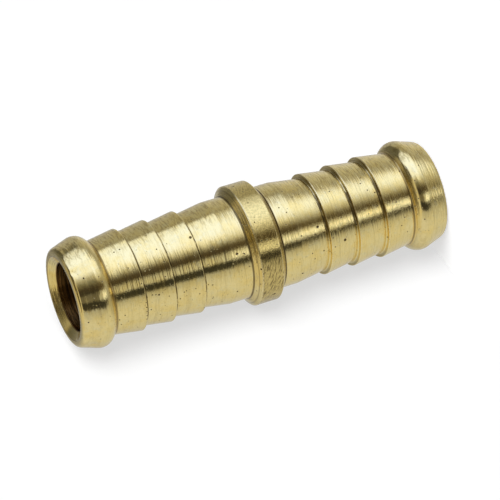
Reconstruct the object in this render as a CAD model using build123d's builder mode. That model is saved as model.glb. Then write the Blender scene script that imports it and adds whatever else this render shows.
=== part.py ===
# Hose joiner: one turned brass tube with a collar in the middle and a barbed, beaded tail each way.
# Millimetres. +Z runs along the bore and the origin is the centre of the lower end face.
import os

from build123d import *

# Whole part
overall_length = 45.0
neck_diameter = 11.9            # the plain neck beside the collar, and the crest of every barb
wall_at_root = 1.42             # metal left between the foot of a barb and the bore

# Collar
collar_rise = 1.05              # height of the rim above the neck
collar_rim_width = 2.5          # bar surface left between the two chamfers
collar_chamfer_width = 0.72     # along the axis; each chamfer takes the whole height of the collar

# Barbs
neck_length = 2.2               # plain length between the collar and the first cone
cone_count = 4                  # the cone beside the neck has no shoulder, the others are barbs
barb_depth = 0.53

# Bead
bead_back_length = 1.4          # from the last cone to the crown
nose_length = 2.7               # from the crown to the end face
bead_rise = 0.5                 # height of the crown above the barb crests
nose_angle = 18.0               # slope of the nose, in degrees from the axis
lip_round = 0.65

# Mouth of the bore
countersink_rise = 0.9          # radial
countersink_depth = 0.75        # along the axis

# Radii, and heights above the middle of the collar, that follow from these
half_length = overall_length / 2
neck_radius = neck_diameter / 2
root_radius = neck_radius - barb_depth
bore_radius = root_radius - wall_at_root
mouth_radius = bore_radius + countersink_rise
collar_radius = neck_radius + collar_rise
crown_radius = neck_radius + bead_rise

rim_edge = collar_rim_width / 2
collar_foot = rim_edge + collar_chamfer_width
neck_end = collar_foot + neck_length
crown_height = half_length - nose_length
bead_start = crown_height - bead_back_length
cone_length = (bead_start - neck_end) / cone_count
shoulders = [neck_end + cone_length * number for number in range(1, cone_count)]

middle = Plane(origin=(0, 0, half_length), x_dir=(1, 0, 0), z_dir=(0, -1, 0))

with BuildPart() as hose_joiner:
    # Half of the section, from the middle of the collar up, in radius and height
    with BuildSketch(middle) as section:
        with BuildLine():
            outside = [
                (bore_radius, 0),
                (collar_radius, 0),
                (collar_radius, rim_edge),
                (neck_radius, collar_foot),
                (neck_radius, neck_end),
            ]
            for height in shoulders:
                outside.append((root_radius, height))
                outside.append((neck_radius, height))
            outside.append((root_radius, bead_start))
            Polyline(*outside)
            # The bead is one arc, up from the last cone and over the crown, and a straight sloping nose
            crown = (crown_radius, crown_height)
            back = TangentArc(crown, (root_radius, bead_start), tangent=(0, -1))
            front = JernArc(start=crown, tangent=(0, 1), radius=back.radius, arc_size=nose_angle)
            nose = PolarLine(
                start=front @ 1,
                length=half_length - (front @ 1).Y,
                direction=front % 1,
                length_mode=LengthMode.VERTICAL,
            )
            Polyline(
                nose @ 1,
                (mouth_radius, half_length),
                (bore_radius, half_length - countersink_depth),
                (bore_radius, 0),
            )
            lip_radius = (nose @ 1).X
        make_face()
        fillet(section.vertices().sort_by_distance((lip_radius, half_length, 0))[0], lip_round)
        mirror(about=Plane.XZ)
    revolve(axis=Axis.Z)

hose_joiner.part.label = "hose_joiner"

os.makedirs("parts", exist_ok=True)
export_step(hose_joiner.part, "parts/hose_joiner.step")
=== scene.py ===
# A straight brass hose joiner turned from round bar: a collar in the middle, a barbed, beaded tail each way.
# It stands on its end on a pale floor, a white card behind it, and the camera is rolled as in the photograph.
import math

import bpy
import numpy as np
from mathutils import Matrix, Vector


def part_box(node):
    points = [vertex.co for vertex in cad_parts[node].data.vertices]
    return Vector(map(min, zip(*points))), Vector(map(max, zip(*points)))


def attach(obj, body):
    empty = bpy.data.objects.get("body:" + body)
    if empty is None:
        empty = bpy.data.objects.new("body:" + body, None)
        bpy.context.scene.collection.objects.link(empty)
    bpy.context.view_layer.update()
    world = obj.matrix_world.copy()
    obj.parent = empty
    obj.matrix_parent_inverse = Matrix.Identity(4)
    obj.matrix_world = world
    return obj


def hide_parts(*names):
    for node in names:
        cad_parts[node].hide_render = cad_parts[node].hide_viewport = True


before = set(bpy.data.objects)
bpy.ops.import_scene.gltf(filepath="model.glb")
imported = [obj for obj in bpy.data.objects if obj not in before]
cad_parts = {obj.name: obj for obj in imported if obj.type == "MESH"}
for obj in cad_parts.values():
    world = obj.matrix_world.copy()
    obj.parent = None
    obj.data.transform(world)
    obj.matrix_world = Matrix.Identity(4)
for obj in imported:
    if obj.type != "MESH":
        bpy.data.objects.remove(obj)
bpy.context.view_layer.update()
scene = bpy.context.scene
mm = 0.001
foot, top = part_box("hose_joiner")
halfLength = (top.z - foot.z) / 2 / mm
collarRadius = top.x / mm
print("frame loaded")


# helpers for shaders

class Term:
    # one output socket; sums and products of terms add Math nodes
    def __init__(self, shop, socket):
        self.shop = shop
        self.socket = socket

    def join(self, operation, first, second=0.0):
        return self.shop.add("ShaderNodeMath", {"operation": operation}, {0: first, 1: second})

    def out(self, name):
        return Term(self.shop, self.socket.node.outputs[name])

    def absolute(self):
        return self.join("ABSOLUTE", self)

    def capped(self):
        return self.join("MINIMUM", self, 1.0)

    def __add__(self, other):
        return self.join("ADD", self, other)

    def __radd__(self, other):
        return self.join("ADD", other, self)

    def __sub__(self, other):
        return self.join("SUBTRACT", self, other)

    def __rsub__(self, other):
        return self.join("SUBTRACT", other, self)

    def __mul__(self, other):
        return self.join("MULTIPLY", self, other)

    def __rmul__(self, other):
        return self.join("MULTIPLY", other, self)

    def __truediv__(self, other):
        return self.join("DIVIDE", self, other)

    def __pow__(self, other):
        return self.join("POWER", self, other)


class Shop:
    # a node tree and the one way to add to it
    def __init__(self, owner):
        owner.use_nodes = True
        self.tree = owner.node_tree
        self.tree.nodes.clear()

    # settings are set first, then each input gets its value or link; gives the first output
    def add(self, kind, settings=None, inputs=None):
        node = self.tree.nodes.new(kind)
        for name, value in (settings or {}).items():
            if name == "stops":
                ramp = node.color_ramp
                while len(ramp.elements) < len(value):
                    ramp.elements.new(1.0)
                for element, (place, colour) in zip(ramp.elements, value):
                    element.position = place
                    element.color = (*colour, 1.0)
            else:
                setattr(node, name, value)
        for name, value in (inputs or {}).items():
            if isinstance(value, Term):
                self.tree.links.new(value.socket, node.inputs[name])
            elif isinstance(value, tuple) and node.inputs[name].type == "RGBA":
                node.inputs[name].default_value = (*value, 1.0)
            else:
                node.inputs[name].default_value = value
        return Term(self, node.outputs[0]) if node.outputs else node

    # 0 below low, 1 above high, smooth between
    def rise(self, value, low, high):
        return self.add("ShaderNodeMapRange", {"interpolation_type": "SMOOTHSTEP"},
                        {"Value": value, "From Min": low, "From Max": high})

    # 1 where value is within inner of middle, 0 beyond outer
    def near(self, value, middle, inner, outer):
        return 1 - self.rise((value - middle).absolute(), inner, outer)

    # colour a where factor is 0, b where it is 1
    def tint(self, factor, a, b):
        mixed = self.add("ShaderNodeMix", {"data_type": "RGBA"}, {0: factor, 6: a, 7: b})
        return Term(self, mixed.socket.node.outputs[2])

    def noise(self, vector, scale, detail, roughness):
        return self.add("ShaderNodeTexNoise", {}, {"Vector": vector, "Scale": scale, "Detail": detail,
                                                   "Roughness": roughness})


# the joiner's surface

joiner = {  # millimetres and degrees; length and collar come from the frame
    "neckRadius": 5.95, "rootRadius": 5.42, "boreRadius": 4.0, "mouthRadius": 4.9,
    "rimWidth": 2.5, "chamferWidth": 0.72, "neckLength": 2.2, "cones": 4,
    "beadBack": 1.4, "crownRadius": 6.45, "noseLength": 2.7, "noseAngle": 18.0,
    "lipRound": 0.65, "mouthDepth": 0.75, "boreLead": 0.4,
    "footFillet": 0.3, "neckFillet": 0.4, "barbFillet": 0.16, "grooveFillet": 0.28,
    "edgeRound": 0.09, "rimRound": 0.14, "mouthRound": 0.06,
    "cornerPoints": 5, "lipPoints": 7, "groovePoints": 8, "beadPoints": 22,
    "columns": 216, "rowStep": 0.26, "boreStep": 1.6,
}


# Points of an arc: centre plus radius times cosine and sine of an angle that goes evenly from start to end.
def arcPoints(centre, radius, start, end, count):
    turn = np.linspace(start, end, count)
    return np.column_stack((centre[0] + radius * np.cos(turn), centre[1] + radius * np.sin(turn)))


# Open chain through corners, each with its own rounding: the arc starts at the corner less the way in times
# radius times the tangent of half the turn, and is that start turned about the arc's centre.
def roundedChain(corners, count):
    places = np.array([place for place, radius in corners], float)
    parts = [places[:1]]
    for before, corner, after, (place, radius) in zip(places, places[1:], places[2:], corners[1:]):
        wayIn = (corner - before) / np.linalg.norm(corner - before)
        wayOut = (after - corner) / np.linalg.norm(after - corner)
        side = np.sign(wayIn[0] * wayOut[1] - wayIn[1] * wayOut[0])
        turn = math.acos(np.clip(wayIn @ wayOut, -1, 1))
        if radius == 0:
            parts.append(corner[None])
            continue
        start = corner - wayIn * radius * math.tan(turn / 2)
        centre = start + side * radius * np.array((-wayIn[1], wayIn[0]))
        first = math.atan2(*(start - centre)[::-1])
        parts.append(arcPoints(centre, radius, first, first + side * turn, count))
    return np.concatenate(parts + [places[-1:]])


# Heights over the collar's middle: the rim's edge, the collar's foot, the first cone, the shoulders between
# cones, the bead's groove and its crown; the cones share what is left between neck and bead.
def keyHeights(size):
    rimEdge = size["rimWidth"] / 2
    collarFoot = rimEdge + size["chamferWidth"]
    neckEnd = collarFoot + size["neckLength"]
    crown = halfLength - size["noseLength"]
    beadStart = crown - size["beadBack"]
    coneLength = (beadStart - neckEnd) / size["cones"]
    return {
        "rimEdge": rimEdge, "collarFoot": collarFoot, "neckEnd": neckEnd,
        "shoulders": [neckEnd + coneLength * number for number in range(1, size["cones"])],
        "beadStart": beadStart, "crown": crown,
    }


# The outside from the collar's middle to the last shoulder, as corners (radius, height) with their rounding.
def collarAndBarbs(size, at):
    neck, root = size["neckRadius"], size["rootRadius"]
    corners = [
        ((collarRadius, 0), 0),
        ((collarRadius, at["rimEdge"]), size["rimRound"]),
        ((neck, at["collarFoot"]), size["footFillet"]),
        ((neck, at["neckEnd"]), size["neckFillet"]),
    ]
    for shoulder in at["shoulders"]:
        corners.append(((root, shoulder), size["barbFillet"]))
        corners.append(((neck, shoulder), size["edgeRound"]))
    return corners


# Groove and bead: a circle through the last cone's end that is tangent at the crown, and a fillet that
# touches it and the last cone. Gives the fillet's points, the circle's up to the nose, and the cone's last.
def grooveAndBead(size, at):
    neck, root, crownRadius = size["neckRadius"], size["rootRadius"], size["crownRadius"]
    lift = crownRadius - root
    beadRadius = (size["beadBack"] ** 2 + lift ** 2) / (2 * lift)
    middle = np.array((crownRadius - beadRadius, at["crown"]))
    crest = np.array((neck, at["shoulders"][-1]))
    down = np.array((root, at["beadStart"])) - crest
    down /= np.linalg.norm(down)
    outward = np.array((down[1], -down[0]))
    fillet = size["grooveFillet"]
    gap = crest + outward * fillet - middle
    along = -gap @ down - math.sqrt((gap @ down) ** 2 - gap @ gap + (beadRadius + fillet) ** 2)
    hub = crest + down * along + outward * fillet
    meet = math.atan2(*(hub - middle)[::-1])
    first = math.atan2(-outward[1], -outward[0]) % (2 * math.pi)
    groove = arcPoints(hub, fillet, first, meet + math.pi, size["groovePoints"])
    bead = arcPoints(middle, beadRadius, meet, math.radians(size["noseAngle"]), size["beadPoints"])[1:]
    return groove, bead, tuple(crest + down * along)


# Half the outside and the mouth, in radius and height over the collar's middle; the nose runs straight from
# the bead's last point to the end face.
def halfOutline(size):
    at = keyHeights(size)
    groove, bead, coneEnd = grooveAndBead(size, at)
    outside = roundedChain(collarAndBarbs(size, at) + [(coneEnd, 0)], size["cornerPoints"])
    noseEnd = bead[-1, 0] - (halfLength - bead[-1, 1]) * math.tan(math.radians(size["noseAngle"]))
    mouthFoot = halfLength - size["mouthDepth"]
    boreTop = mouthFoot - size["boreLead"]
    tip = roundedChain([
        (tuple(bead[-1]), 0),
        ((noseEnd, halfLength), size["lipRound"]),
        ((size["mouthRadius"], halfLength), size["mouthRound"]),
        ((size["boreRadius"], mouthFoot), size["mouthRound"]),
        ((size["boreRadius"], boreTop), 0),
    ], size["lipPoints"])
    return np.concatenate((outside[:-1], groove, bead, tip[1:]))


# The chain with more points: its own, one every step, and one just inside each end of every long stretch.
def fillChain(chain, step):
    run = np.concatenate(([0], np.cumsum(np.linalg.norm(np.diff(chain, axis=0), axis=1))))
    gaps = np.diff(run)
    inset, longGap, tooNear = 0.035, 0.15, 0.07
    beside = np.concatenate((run[:-1][gaps > longGap] + inset, run[1:][gaps > longGap] - inset))
    even = np.arange(step, run[-1], step)
    even = even[np.abs(even[:, None] - np.concatenate((run, beside))).min(axis=1) > tooNear]
    stations = np.sort(np.concatenate((run, beside, even)))
    return np.column_stack((np.interp(stations, run, chain[:, 0]), np.interp(stations, run, chain[:, 1])))


# Closed loop of the whole section: the filled half outline, the bore, and the same mirrored below the middle.
def sectionLoop(size):
    outside = fillChain(halfOutline(size), size["rowStep"])
    bore = fillChain(np.array((outside[-1], (size["boreRadius"], 0))), size["boreStep"])[1:]
    upper = np.concatenate((outside, bore))
    lower = upper[-2:0:-1] * (1, -1)
    return np.concatenate((upper, lower))


# Surface of revolution: point = (radius cos turn, radius sin turn, height), for every station of the loop and
# every turn. A dent lowers the radius by its depth times exp of minus the squared distance in its own widths.
def latheSurface(size, dents):
    loop = sectionLoop(size)
    turn = np.linspace(0, 2 * math.pi, size["columns"], endpoint=False)
    radius = np.repeat(loop[:, :1], size["columns"], axis=1)
    height = np.repeat(loop[:, 1:], size["columns"], axis=1)
    for dent in dents:
        aside = (turn - math.radians(dent["turn"]) + math.pi) % (2 * math.pi) - math.pi
        away = (aside[None] * radius / dent["size"]) ** 2 + ((height - dent["height"]) / dent["width"]) ** 2
        radius = radius - dent["depth"] * np.exp(-away) * (radius > size["mouthRadius"])
    return np.stack((radius * np.cos(turn), radius * np.sin(turn), height + halfLength), axis=-1) * mm


# Quads between neighbours on a grid that closes in both directions.
def closedGrid(rows, columns):
    row = np.arange(rows)[:, None]
    column = np.arange(columns)[None]
    nextRow, nextColumn = (row + 1) % rows, (column + 1) % columns
    corners = (row * columns + column, row * columns + nextColumn,
               nextRow * columns + nextColumn, nextRow * columns + column)
    return np.stack(np.broadcast_arrays(*corners), axis=-1).reshape(-1, 4)


# Object with a smooth mesh of its own, its points where they stand in the scene.
def meshFromGrid(name, points, faces):
    mesh = bpy.data.meshes.new(name)
    mesh.from_pydata(points.reshape(-1, 3), [], faces)
    mesh.polygons.foreach_set("use_smooth", np.ones(len(faces), bool))
    mesh.update()
    piece = bpy.data.objects.new(name, mesh)
    scene.collection.objects.link(piece)
    return piece


dents = [  # on the near lip, on the collar's edge and on a shoulder; height is over the collar's middle
    {"height": 22.0, "turn": 295, "size": 0.3, "width": 0.3, "depth": 0.09},
    {"height": 21.3, "turn": 198, "size": 0.5, "width": 0.3, "depth": 0.07},
    {"height": 1.35, "turn": 241.6, "size": 0.16, "width": 0.2, "depth": 0.1},
    {"height": -7.8, "turn": 230.5, "size": 0.4, "width": 0.16, "depth": 0.14},
]
surface = latheSurface(joiner, dents)
body = meshFromGrid("turned_joiner", surface, closedGrid(*surface.shape[:2]))
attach(body, "root")
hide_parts("hose_joiner")
print("joiner:", surface.shape[0], "rows,", 2 * len(body.data.polygons), "triangles")


# view of the part, as in the photograph

view = {  # lens and sensor in millimetres, else degrees and metres; aside and above frame the part
    "lens": 248.1, "sensor": 36, "distance": 0.3896, "elevation": 17.76, "roll": -106.84,
    "aside": -0.000193, "above": 0.000785,
}
photograph = {  # pixels and degrees: a point on the part's axis, the axis' slope, and the slant of the rings
    "width": 500, "axisPoint": (250, 243), "axisSlope": 16.7, "lean": 0.049,
}


# Place of the camera: aimed at the part's middle from -Y, raised, rolled, and moved back, aside and above.
def cameraPlace(view):
    tilt = Matrix.Rotation(math.radians(90 - view["elevation"]), 4, "X")
    roll = Matrix.Rotation(math.radians(view["roll"]), 4, "Z")
    middle = Matrix.Translation((foot + top) / 2)
    back = Matrix.Translation((-view["aside"], -view["above"], view["distance"]))
    return middle @ tilt @ roll @ back


# Radius of the outside at a height over the collar's middle, 0 beyond the end face.
def outsideRadius(size, height):
    outline = halfOutline(size)
    outline = outline[:outline[:, 1].argmax() + 1]
    return np.interp(np.abs(height), outline[:, 1], outline[:, 0], right=0)


# Point of the outside that a pixel of the photograph shows, in millimetres: the pixel is moved along the
# part's axis by its distance from it times the lean, then its line of sight is followed into the outline.
def seenPoint(pixel, size, view, photograph):
    slope = math.radians(photograph["axisSlope"])
    along = np.array((math.cos(slope), -math.sin(slope)))
    across = np.array((math.sin(slope), math.cos(slope)))
    offAxis = (np.array(pixel) - photograph["axisPoint"]) @ across
    aside, down = np.array(pixel) + along * offAxis * photograph["lean"] - photograph["width"] / 2
    focal = view["lens"] / view["sensor"] * photograph["width"]
    camera = np.array(cameraPlace(view))
    sight = camera[:3, :3] @ np.array((aside / focal, -down / focal, -1))
    sight /= np.linalg.norm(sight)
    reach, step = 0.03, 0.00001  # metres
    steps = np.arange(view["distance"] - reach, view["distance"] + reach, step)
    points = (camera[:3, 3] + steps[:, None] * sight) / mm
    inside = np.hypot(points[:, 0], points[:, 1]) < outsideRadius(size, points[:, 2] - halfLength)
    return points[inside.argmax()]


# brass

brass = {  # colours, roughness, depths in millimetres, patterns per millimetre, and shares and factors
    "clean": (0.90, 0.74, 0.33), "warm": (0.90, 0.70, 0.26), "grey": (0.85, 0.74, 0.38),
    # the bore's dark tone is painted shade inside the bore
    "line": (0.52, 0.39, 0.14), "rawBar": (0.72, 0.57, 0.21), "boreShadeTone": (0.36, 0.20, 0.06),
    # the groove's orange tone is painted shade in the groove
    "grooveShadeTone": (0.78, 0.50, 0.12), "soilAndShade": (0.10, 0.06, 0.02), "wornAndHighlight": (0.97, 0.82, 0.44),
    "glossyLine": 0.05, "dullLine": 0.24, "rawRoughness": 0.15, "boreRoughness": 0.3, "stretch": 0.9,
    "ringDepth": 0.004, "wideRingDepth": 0.048, "streakDepth": 0.014, "rawDepth": 0.010, "pitDepth": 0.05,
    # the pale tone of rubbed edges, its share and its roughness also give painted highlights on edges
    "patchRoughness": 0.03, "grainRoughness": 0.16, "soilAndShadeRoughness": 0.35, "wearAndHighlightRoughness": 0.2,
    "patchScale": 0.5, "blotchScale": 1.1, "grainScale": 4.2, "ringScale": 7.0, "wideRingScale": 3.3,
    "streakScale": 1.6, "scratchScale": 1.7, "speckScale": 1.35, "dotScale": 2.9,
    "ringSlope": 1.7, "ringAcross": 0.05, "streakAcross": 0.65, "streakAlong": 4.5,
    "greyShare": 0.7, "lineShare": 0.22, "grainShare": 0.18, "wornAndHighlightShare": 0.7, "grooveShadeShare": 0.4,
    # the extra share on the +X side is a painted streaky reflection
    "streakShare": 0.12, "sideReflectionStreakShare": 0.58,
    "workedSoil": 0.2, "scratchSoil": 0.1, "workedScratchSoil": 0.45,
    # painted shade: the corners, the groove's line, the collar's foot, and under the collar with dirt as well
    "cornerShadeAndSoil": 0.85, "grooveLineShade": 0.6, "collarFootShade": 0.75, "underShadeAndSoil": 0.5, "chamferSoil": 0.35,
    # the marks in the mouth are a painted dark reflection
    "mouthSoil": 0.4, "mouthDarkReflection": 0.75, "speckShare": 0.95, "pitSoil": 0.92,
}
pits = {  # the pixel of the photograph that shows it, and its radius in millimetres
    "nearNoseHigh": ((84.2, 278.2), 0.10),
    "nearNoseLow": ((87.1, 322.9), 0.09),
    "nearThirdConeTop": ((157.5, 248.9), 0.07),
    "nearThirdCone": ((164.5, 261.6), 0.08),
    "nearThirdConeLow": ((157.9, 295.1), 0.11),
    "nearSecondCone": ((191.4, 237.1), 0.15),
    "nearFirstShoulder": ((202.3, 308.4), 0.12),
    "nearNeck": ((236.7, 253.9), 0.15),
    "nearNeckBesideCollar": ((244, 253.9), 0.08),
    "nearNeckLow": ((235.5, 292), 0.10),
    "collarEdge": ((259.7, 269.8), 0.12),
    "collarRimHigh": ((236.1, 185.5), 0.12),
    "collarRimLow": ((271.8, 294.7), 0.16),
    "farNeck": ((301.1, 236), 0.08),
    "farNeckLow": ((300.6, 273.9), 0.12),
    "farFirstCone": ((317.5, 226.8), 0.15),
    "farFirstConeLow": ((322.7, 251), 0.09),
    "farSecondConeStart": ((332.3, 238.2), 0.08),
    "farSecondCone": ((344, 240.1), 0.17),
    "farThirdShoulder": ((386.9, 229.3), 0.09),
}
dashes = {  # a short even row above the outermost shoulder of the upper tail; millimetres, turns in degrees
    "above": 0.11, "firstTurn": 239, "lastTurn": 215.5, "count": 5, "radius": 0.07,
}


# Where a point lies, in millimetres: x, y, z, distance from the axis and height over the collar's middle; and
# as masks the lower tail, the collar's rim, the bore, the end and its mouth.
def readPlace(shop, size):
    key = keyHeights(size)
    place = shop.add("ShaderNodeTexCoord").out("Object")
    place = shop.add("ShaderNodeVectorMath", {"operation": "SCALE"}, {0: place, "Scale": 1 / mm})
    x = shop.add("ShaderNodeSeparateXYZ", {}, {0: place})
    y, z = x.out("Y"), x.out("Z")
    radius = (x * x + y * y) ** 0.5
    height = (z - halfLength).absolute()
    atEnd = shop.rise(height, key["crown"] + 1.5, key["crown"] + 2.0)
    return {
        "place": place, "x": x, "y": y, "z": z, "radius": radius, "height": height,
        "lowerTail": shop.rise(z, halfLength, halfLength - 0.5),
        "onRim": shop.rise(radius, collarRadius - 0.1, collarRadius - 0.03),
        "inBore": 1 - shop.rise(radius, size["boreRadius"] + 0.03, size["boreRadius"] + 0.12),
        "atEnd": atEnd,
        "inMouth": atEnd * (1 - shop.rise(radius, size["mouthRadius"], size["mouthRadius"] + 0.1)),
    }


# Marks of the tool: rings close together along the section, and shorter streaks that follow them. Height plus
# ringSlope times radius runs along the section, so that cones, chamfers and flat faces all get rings.
def toolMarks(shop, at, finish):
    section = at["z"] + at["radius"] * finish["ringSlope"]
    ringX, ringY = at["x"] * finish["ringAcross"], at["y"] * finish["ringAcross"]
    rings = shop.add("ShaderNodeCombineXYZ", {}, {0: ringX, 1: ringY, 2: section})
    streakX, streakY = at["x"] * finish["streakAcross"], at["y"] * finish["streakAcross"]
    streakZ = section * finish["streakAlong"]
    dashes = shop.add("ShaderNodeCombineXYZ", {}, {0: streakX, 1: streakY, 2: streakZ})
    fineRings = shop.noise(rings, finish["ringScale"], 3.0, 0.62)
    wideRings = shop.noise(rings, finish["wideRingScale"], 2.0, 0.6)
    streaks = shop.noise(dashes, finish["streakScale"], 4.0, 0.62)
    return fineRings, wideRings, streaks


# Bar surface left on the collar's rim: scratches that slant across it, and the sides that are worked most.
def barScratches(shop, at, finish):
    around = shop.add("ShaderNodeMath", {"operation": "ARCTAN2"}, {0: at["y"], 1: at["x"]}) * collarRadius
    slant = {0: around * 0.6 - at["z"] * 0.25, 1: around * 1.8 + at["z"] * 4.4}  # long one way, thin across
    pattern = shop.noise(shop.add("ShaderNodeCombineXYZ", {}, slant), finish["scratchScale"], 2.0, 0.55)
    worked = shop.rise(at["x"], -1.0, -2.4) + shop.rise(at["x"], 4.4, 5.6) * 0.4
    return shop.rise(pattern, 0.5, 0.6), worked


# Middle and radius of each pit: those that the photograph shows, then the row of dashes.
def pitPlaces(size, pits, dashes):
    places = [(seenPoint(pixel, size, view, photograph), radius) for pixel, radius in pits.values()]
    height = keyHeights(size)["shoulders"][-1] + dashes["above"]
    radius = outsideRadius(size, height)
    for turn in np.radians(np.linspace(dashes["firstTurn"], dashes["lastTurn"], dashes["count"])):
        middle = (radius * math.cos(turn), radius * math.sin(turn), height + halfLength)
        places.append((middle, dashes["radius"]))
    return places


# The pits' mask: for each, 1 near its middle and 0 beyond its radius.
def pitMask(shop, place, pitList):
    full, none = 0.7, 1.15  # shares of the radius between which a pit fades
    mask = 0.0
    for middle, radius in pitList:
        away = shop.add("ShaderNodeVectorMath", {"operation": "DISTANCE"}, {0: place, 1: middle}).out("Value")
        mask = (1 - shop.rise(away, radius * full, radius * none)) + mask
    return mask


# Specks: the middles of two cell patterns, the finer one in blotches and in the patches on the -X side alone.
def speckMask(shop, at, patches, blotches, finish):
    cells = shop.add("ShaderNodeTexVoronoi", {}, {"Vector": at["place"], "Scale": finish["speckScale"]})
    chosen = shop.rise(shop.add("ShaderNodeSeparateXYZ", {}, {0: cells.out("Color")}), 0.42, 0.46)
    dots = shop.add("ShaderNodeTexVoronoi", {}, {"Vector": at["place"], "Scale": finish["dotScale"]})
    dotted = shop.rise(blotches, 0.3, 0.8) * 0.6 + shop.rise(at["x"], -1.5, -3.5) * patches * 0.7
    return (1 - shop.rise(cells, 0.06, 0.13)) * chosen + (1 - shop.rise(dots, 0.08, 0.17)) * dotted


# Painted shade, with some dirt, in the corners of the shoulders: a line along the root and the
# shoulder's own face, the face less on the +X side, and neither on the -X side of the lower tail.
def cornerShadeMask(shop, at, streaks, size):
    corner = 0.0
    for shoulder in keyHeights(size)["shoulders"]:
        rootLine = shop.near(at["height"], shoulder - 0.17, 0.04, 0.1)
        face = shop.near(at["height"], shoulder - 0.11, 0.12, 0.2)
        corner = rootLine * 0.5 + face * (1 - shop.rise(at["x"], 1.5, 4.0) * 0.75) + corner
    underCrest = 1 - shop.rise(at["radius"], size["neckRadius"] - 0.2, size["neckRadius"] - 0.1)
    bare = at["lowerTail"] * shop.rise(at["x"], -0.5, -3.0)
    return corner.capped() * underCrest * shop.rise(streaks, 0.3, 0.5) * (1 - bare)


# Dark lines round the part: painted shade in the corner at the collar's foot, painted shade and dirt on the
# collar's lower side, dirt on its upper chamfer and at the edge of the mouth, and a painted dark reflection
# in short marks on the far side of the mouth.
def lineSoilAndShade(shop, at, streaks, finish, size):
    key = keyHeights(size)
    collarFoot, rimEdge = key["collarFoot"], key["rimEdge"]
    # painted shade in the corner at the collar's foot
    atFoot = shop.near(at["height"], collarFoot + 0.02, 0.06, 0.13)
    # painted shade and dirt on the lower side of the collar
    under = shop.rise(at["height"], rimEdge + 0.1, rimEdge + 0.2)
    under = under * (1 - shop.rise(at["height"], collarFoot, collarFoot + 0.2))
    under = under * at["lowerTail"] * (1 - shop.rise(at["x"], -0.5, -3.0) * 0.7)
    chamfer = shop.near(at["height"], rimEdge + 0.3, 0.02, 0.07) * (1 - at["lowerTail"])
    mouth = shop.near(at["radius"], size["mouthRadius"], 0.03, 0.09) * at["atEnd"]
    # painted dark reflection in short streaky marks on the far side of the mouth
    marks = shop.rise(streaks, 0.44, 0.52) * shop.rise(at["x"].absolute(), 1.7, 0.9)
    marks = marks * shop.rise(at["y"], 3.4, 3.8) * at["inMouth"]
    collar = atFoot * finish["collarFootShade"] + under * finish["underShadeAndSoil"] + chamfer * finish["chamferSoil"]
    return collar + mouth * finish["mouthSoil"] + marks * finish["mouthDarkReflection"]


# Wear and painted highlights as pale lines: on the crests, less on the upper tail, on the edges of the
# collar's rim, and in a line at its foot on the +X side.
def wearAndHighlightMask(shop, at, grain, size):
    key = keyHeights(size)
    crest = 0.0
    for shoulder in key["shoulders"]:
        crest = shop.near(at["height"], shoulder + 0.05, 0.04, 0.1) + crest
    crest = crest * shop.rise(at["radius"], size["neckRadius"] - 0.1, size["neckRadius"] - 0.03)
    rim = shop.near(at["height"], key["rimEdge"] + 0.03, 0.05, 0.1)
    rim = rim * shop.rise(at["radius"], collarRadius - 0.2, collarRadius - 0.12)
    footLine = shop.near(at["height"], key["collarFoot"] + 0.24, 0.04, 0.1) * shop.rise(at["x"], -1.0, 2.0)
    wearAndHighlight = crest * (0.25 + at["lowerTail"] * 0.75) + rim * 0.8 + footLine * 0.8
    return wearAndHighlight * shop.rise(grain, 0.3, 0.55)


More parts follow.
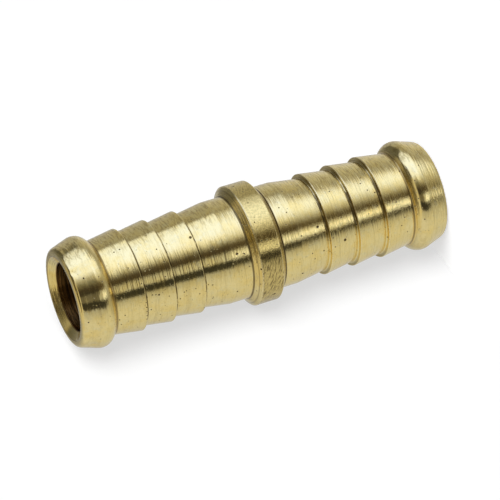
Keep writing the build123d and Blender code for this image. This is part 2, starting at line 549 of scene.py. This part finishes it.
# Turned brass: the marks above, laid over each other in colour, in roughness and in height.
def brassMaterial(finish, size, pitList):
    material = bpy.data.materials.new("turned_brass")
    shop = Shop(material)
    at = readPlace(shop, size)
    patches = shop.rise(shop.noise(at["place"], finish["patchScale"], 4.0, 0.62), 0.4, 0.66)
    blotches = shop.rise(shop.noise(at["place"], finish["blotchScale"], 3.0, 0.7), 0.5, 0.72)
    grain = shop.noise(at["place"], finish["grainScale"], 4.0, 0.65)
    fineRings, wideRings, streaks = toolMarks(shop, at, finish)
    scratches, worked = barScratches(shop, at, finish)
    wearAndHighlight = wearAndHighlightMask(shop, at, grain, size)

    # dirt, and painted shade in the corners, in the groove and at the collar
    beadStart = keyHeights(size)["beadStart"]
    inRoot = 1 - shop.rise(at["radius"], size["rootRadius"] + 0.1, size["rootRadius"] + 0.3)
    # painted shade in the groove: a darker tone over it and a dark line along its fillet
    groove = shop.near(at["height"], beadStart + 0.05, 0.2, 0.45) * inRoot
    grooveLine = shop.near(at["height"], beadStart - 0.12, 0.06, 0.14) * inRoot
    pit = pitMask(shop, at["place"], pitList)
    pit = pit + speckMask(shop, at, patches, blotches, finish) * finish["speckShare"]
    soilAndShade = cornerShadeMask(shop, at, streaks, size) * finish["cornerShadeAndSoil"] + grooveLine * finish["grooveLineShade"]
    soilAndShade = (soilAndShade + lineSoilAndShade(shop, at, streaks, finish, size) + pit * finish["pitSoil"]).capped()

    # colour
    lines = shop.rise(wideRings * 0.7 + streaks * 0.3, 0.5, 0.66)
    # streaks in the colour everywhere, stronger on the +X side as a painted streaky reflection
    streakShare = finish["streakShare"] + shop.rise(at["x"], 2.6, 4.4) * finish["sideReflectionStreakShare"]
    streaky = shop.rise(streaks, 0.46, 0.62) * streakShare
    lined = lines * finish["lineShare"] + shop.rise(grain, 0.48, 0.75) * finish["grainShare"]
    colour = shop.tint(patches, finish["clean"], finish["warm"])
    colour = shop.tint(blotches * finish["greyShare"], colour, finish["grey"])
    colour = shop.tint(streaky, colour, finish["line"])
    colour = shop.tint(lined, colour, finish["line"])
    raw = shop.tint(shop.rise(grain, 0.4, 0.62), finish["rawBar"], finish["warm"])
    scratchSoil = scratches * (finish["scratchSoil"] + worked * finish["workedScratchSoil"])
    raw = shop.tint(worked * finish["workedSoil"] + scratchSoil, raw, finish["soilAndShade"])
    # painted shade inside the bore: a dark tone with darker rings
    boreRings = shop.tint(shop.rise(fineRings, 0.42, 0.62), finish["boreShadeTone"], finish["soilAndShade"])
    colour = shop.tint(at["onRim"], colour, raw)
    # pale lines of rubbed brass and painted highlight
    colour = shop.tint(wearAndHighlight * finish["wornAndHighlightShare"], colour, finish["wornAndHighlight"])
    # painted shade over the groove
    colour = shop.tint(groove * finish["grooveShadeShare"], colour, finish["grooveShadeTone"])
    colour = shop.tint(at["inBore"], colour, boreRings)
    # the dark tone here is dirt and painted shade together
    colour = shop.tint(soilAndShade, colour, finish["soilAndShade"])

    # roughness
    dull = shop.rise(fineRings * 0.5 + streaks * 0.5, 0.46, 0.64)
    rough = finish["glossyLine"] + dull * (finish["dullLine"] - finish["glossyLine"])
    rough = rough + patches * finish["patchRoughness"]
    rimRough = finish["rawRoughness"] + (grain - 0.5) * finish["grainRoughness"]
    rough = rough * (1 - at["onRim"]) + rimRough * at["onRim"]
    rough = rough * (1 - at["inBore"]) + finish["boreRoughness"] * at["inBore"]
    rough = rough * (1 - at["inMouth"] * 0.5)  # the mouth is cut smoother than the tails
    rough = rough + soilAndShade * finish["soilAndShadeRoughness"] + wearAndHighlight * finish["wearAndHighlightRoughness"]

    # relief
    turned = fineRings * finish["ringDepth"] + wideRings * finish["wideRingDepth"]
    turned = (turned + streaks * finish["streakDepth"]) * (1 - at["inMouth"] * 0.65)
    barSkin = (grain - scratches * 0.3) * finish["rawDepth"]
    relief = turned * (1 - at["onRim"]) + barSkin * at["onRim"] - pit * finish["pitDepth"]
    normal = shop.add("ShaderNodeBump", {}, {"Strength": 1.0, "Distance": 1.0, "Height": relief * mm})

    shine = shop.add("ShaderNodeBsdfPrincipled", {}, {
        "Base Color": colour, "Metallic": 1.0, "Roughness": rough, "Normal": normal,
        "Anisotropic": finish["stretch"], "Anisotropic Rotation": 0.25,
    })
    shop.add("ShaderNodeOutputMaterial", {}, {"Surface": shine})
    return material


body.data.materials.append(brassMaterial(brass, joiner, pitPlaces(joiner, pits, dashes)))
print("brass made")


# floor, card, light and camera

stage = {  # metres and degrees; glow is the white that the camera sees, shade the white that takes the shadow
    "floorSize": 1.2, "cardWidth": 0.5, "cardHeight": 0.5, "cardTurn": 45.2,
    "floorGlow": 0.60, "floorShade": (1.0, 1.0, 1.0), "cardGlow": 0.645, "cardShade": (0.37, 0.37, 0.37),
    "lampTurn": 35, "lampRise": 20, "lampSpread": 48, "lampStrength": 3.15, "plainLight": (0.1, 0.1, 0.1),
}


# Flat sheet: four corners at centre plus and minus half of each edge.
def flatSheet(name, centre, across, along):
    corners = np.array([(-1, -1), (1, -1), (1, 1), (-1, 1)]) / 2
    points = np.array(centre) + corners[:, :1] * np.array(across) + corners[:, 1:] * np.array(along)
    sheet = meshFromGrid(name, points, np.array([(0, 1, 2, 3)]))
    sheet.visible_glossy = False  # the metal mirrors the soft boxes of the world instead
    sheet.visible_diffuse = False
    sheet.visible_shadow = False
    return sheet


# White that keeps a shadow: a diffuse share, and for the camera a glow of its own; unseen from behind.
def whiteMaterial(name, glow, shade):
    material = bpy.data.materials.new(name)
    shop = Shop(material)
    shadow = shop.add("ShaderNodeBsdfDiffuse", {}, {"Color": shade})
    path = shop.add("ShaderNodeLightPath")
    light = shop.add("ShaderNodeEmission", {}, {"Color": (1.0, 1.0, 1.0), "Strength": path * glow})
    both = shop.add("ShaderNodeAddShader", {}, {0: shadow, 1: light})
    behind = shop.add("ShaderNodeNewGeometry").out("Backfacing")
    clear = shop.add("ShaderNodeBsdfTransparent")
    shown = shop.add("ShaderNodeMixShader", {}, {0: behind, 1: both, 2: clear})
    shop.add("ShaderNodeOutputMaterial", {}, {"Surface": shown})
    return material


floor = flatSheet("floor", (0, 0, 0), (stage["floorSize"], 0, 0), (0, stage["floorSize"], 0))
floor.data.materials.append(whiteMaterial("floor_white", stage["floorGlow"], stage["floorShade"]))
cardTurn = math.radians(stage["cardTurn"])
facing = np.array((math.sin(cardTurn), -math.cos(cardTurn), 0))
acrossCard = np.array((math.cos(cardTurn), math.sin(cardTurn), 0))
card = flatSheet("card", -facing * top.x, acrossCard * stage["cardWidth"], (0, 0, stage["cardHeight"]))
card.data.materials.append(whiteMaterial("card_white", stage["cardGlow"], stage["cardShade"]))
print("floor and card made")


# soft lamp that lays the part's shadow on card and floor; the metal mirrors the painted light alone
def shadowLamp(stage):
    data = bpy.data.lights.new("soft_lamp", "SUN")
    data.energy = stage["lampStrength"]
    data.angle = math.radians(stage["lampSpread"])
    lamp = bpy.data.objects.new("soft_lamp", data)
    turn, rise = math.radians(stage["lampTurn"]), math.radians(stage["lampRise"])
    towards = Vector((math.sin(turn) * math.cos(rise), -math.cos(turn) * math.cos(rise), math.sin(rise)))
    lamp.rotation_euler = towards.to_track_quat("Z", "Y").to_euler()
    lamp.visible_glossy = False
    scene.collection.objects.link(lamp)


shadowLamp(stage)

# light that the metal mirrors: rings of soft boxes at four heights, by the turn in degrees (0 towards -Y, 90
# towards -X), and one colour overhead and one below. Each pair of numbers is where one light begins to pass
# into the next and where it has passed, as a sine of elevation; for frontOverhead, as the direction's Y.
room = {
    "top": [
        (-180, (0.6, 0.55, 0.42)), (-150, (0.4, 0.37, 0.29)), (-116, (0.4, 0.37, 0.29)),
        (-106, (0.12, 0.11, 0.08)), (-44, (0.12, 0.11, 0.08)), (-32, (0.6, 0.57, 0.48)),
        (60, (0.7, 0.66, 0.55)), (180, (0.6, 0.55, 0.42)),
    ],
    "high": [
        (-180, (0.3, 0.3, 0.3)), (-140, (0.14, 0.14, 0.13)), (-105, (0.12, 0.12, 0.11)),
        (-98, (0.85, 0.95, 1.3)), (-70, (1.12, 1.3, 2.0)), (-38, (1.05, 1.15, 1.5)),
        (-27, (0.5, 0.5, 0.5)), (-17, (0.2, 0.2, 0.18)), (-6, (0.06, 0.05, 0.04)),
        (6, (0.05, 0.045, 0.035)), (9, (0.15, 0.14, 0.12)), (23, (0.18, 0.17, 0.15)),
        (25, (0.04, 0.04, 0.035)), (40, (0.05, 0.045, 0.04)), (44, (0.44, 0.44, 0.44)),
        (70, (0.7, 0.7, 0.7)), (130, (0.7, 0.7, 0.7)), (180, (0.3, 0.3, 0.3)),
    ],
    "level": [
        (-180, (0.48, 0.48, 0.48)), (-147, (0.45, 0.45, 0.44)), (-123, (0.4, 0.4, 0.39)),
        (-99, (0.38, 0.38, 0.36)), (-92, (0.3, 0.29, 0.27)), (-88, (0.98, 1.08, 1.4)),
        (-70, (1.12, 1.3, 1.95)), (-43, (1.14, 1.32, 2.0)), (-34, (1.12, 1.24, 1.7)),
        (-25, (0.98, 1.02, 1.12)), (-15, (0.38, 0.37, 0.34)), (-8, (0.09, 0.075, 0.055)),
        (5, (0.07, 0.055, 0.035)), (8, (0.5, 0.5, 0.47)), (23.5, (0.66, 0.66, 0.62)),
        (25, (0.04, 0.04, 0.035)), (40, (0.05, 0.05, 0.04)), (44, (0.46, 0.46, 0.45)),
        (60, (0.66, 0.66, 0.65)), (80, (0.72, 0.72, 0.71)), (121, (0.66, 0.66, 0.64)),
        (180, (0.48, 0.48, 0.48)),
    ],
    "low": [
        (-180, (0.7, 0.7, 0.68)), (-140, (0.7, 0.7, 0.68)), (-119, (0.56, 0.56, 0.53)),
        (-92, (0.38, 0.38, 0.37)), (-84, (0.36, 0.36, 0.36)), (-73, (0.78, 0.8, 0.9)),
        (-63, (1.1, 1.22, 1.6)), (-45, (1.1, 1.22, 1.6)), (-33, (0.84, 0.88, 0.98)),
        (-20, (0.45, 0.45, 0.43)), (-8, (0.11, 0.09, 0.06)), (6, (0.08, 0.065, 0.045)),
        (9, (0.85, 0.85, 0.84)), (12, (1.05, 1.07, 1.1)), (23.5, (1.4, 1.45, 1.55)),
        (25, (0.05, 0.045, 0.035)), (39, (0.07, 0.065, 0.055)), (45, (0.46, 0.46, 0.45)),
        (59, (0.64, 0.64, 0.62)), (81, (0.72, 0.72, 0.7)), (123, (0.66, 0.66, 0.64)),
        (180, (0.6, 0.6, 0.58)),
    ],
    "overhead": (0.12, 0.10, 0.06), "below": (0.4, 0.4, 0.38),
    "levelToLow": (-0.12, -0.5), "levelToHigh": (0.0, 0.17), "highToTop": (0.62, 0.76),
    "toOverhead": (0.84, 0.92), "frontOverhead": (0.0, -0.05), "lowToBelow": (-0.72, -0.92),
}


# World with the painted light: the rings of soft boxes pass into each other by height, and turn runs from 0
# to 1 round the part. The camera sees white.
def softBoxWorld(room, plainLight):
    world = bpy.data.worlds.new("soft_boxes")
    scene.world = world
    shop = Shop(world)
    split = shop.add("ShaderNodeSeparateXYZ", {}, {0: shop.add("ShaderNodeTexCoord")})
    front, height = split.out("Y"), split.out("Z")
    turn = split.join("ARCTAN2", split * -1, front * -1) / (2 * math.pi) + 0.5
    bands = {}
    for part in ("top", "high", "level", "low"):
        stops = [(angle / 360 + 0.5, colour) for angle, colour in room[part]]
        bands[part] = shop.add("ShaderNodeValToRGB", {"stops": stops}, {0: turn})
    light = shop.tint(shop.rise(height, *room["levelToLow"]), bands["level"], bands["low"])
    light = shop.tint(shop.rise(height, *room["levelToHigh"]), light, bands["high"])
    light = shop.tint(shop.rise(height, *room["highToTop"]), light, bands["top"])
    overhead = shop.rise(height, *room["toOverhead"]) * shop.rise(front, *room["frontOverhead"])
    light = shop.tint(overhead, light, room["overhead"])
    light = shop.tint(shop.rise(height, *room["lowToBelow"]), light, room["below"])
    path = shop.add("ShaderNodeLightPath")
    seen = shop.tint(path.out("Diffuse Depth"), light, plainLight)  # card and floor are lit plainly
    seen = shop.tint(path, seen, (1.0, 1.0, 1.0))
    sky = shop.add("ShaderNodeBackground", {}, {"Color": seen, "Strength": 1.0})
    shop.add("ShaderNodeOutputWorld", {}, {"Surface": sky})


softBoxWorld(room, stage["plainLight"])
print("light made")


def photoCamera(view):
    data = bpy.data.cameras.new("camera")
    data.sensor_width = view["sensor"]
    data.lens = view["lens"]
    data.clip_start = 0.01
    camera = bpy.data.objects.new("camera", data)
    scene.collection.objects.link(camera)
    camera.matrix_world = cameraPlace(view)
    scene.camera = camera


photoCamera(view)
scene.view_settings.view_transform = "Standard"
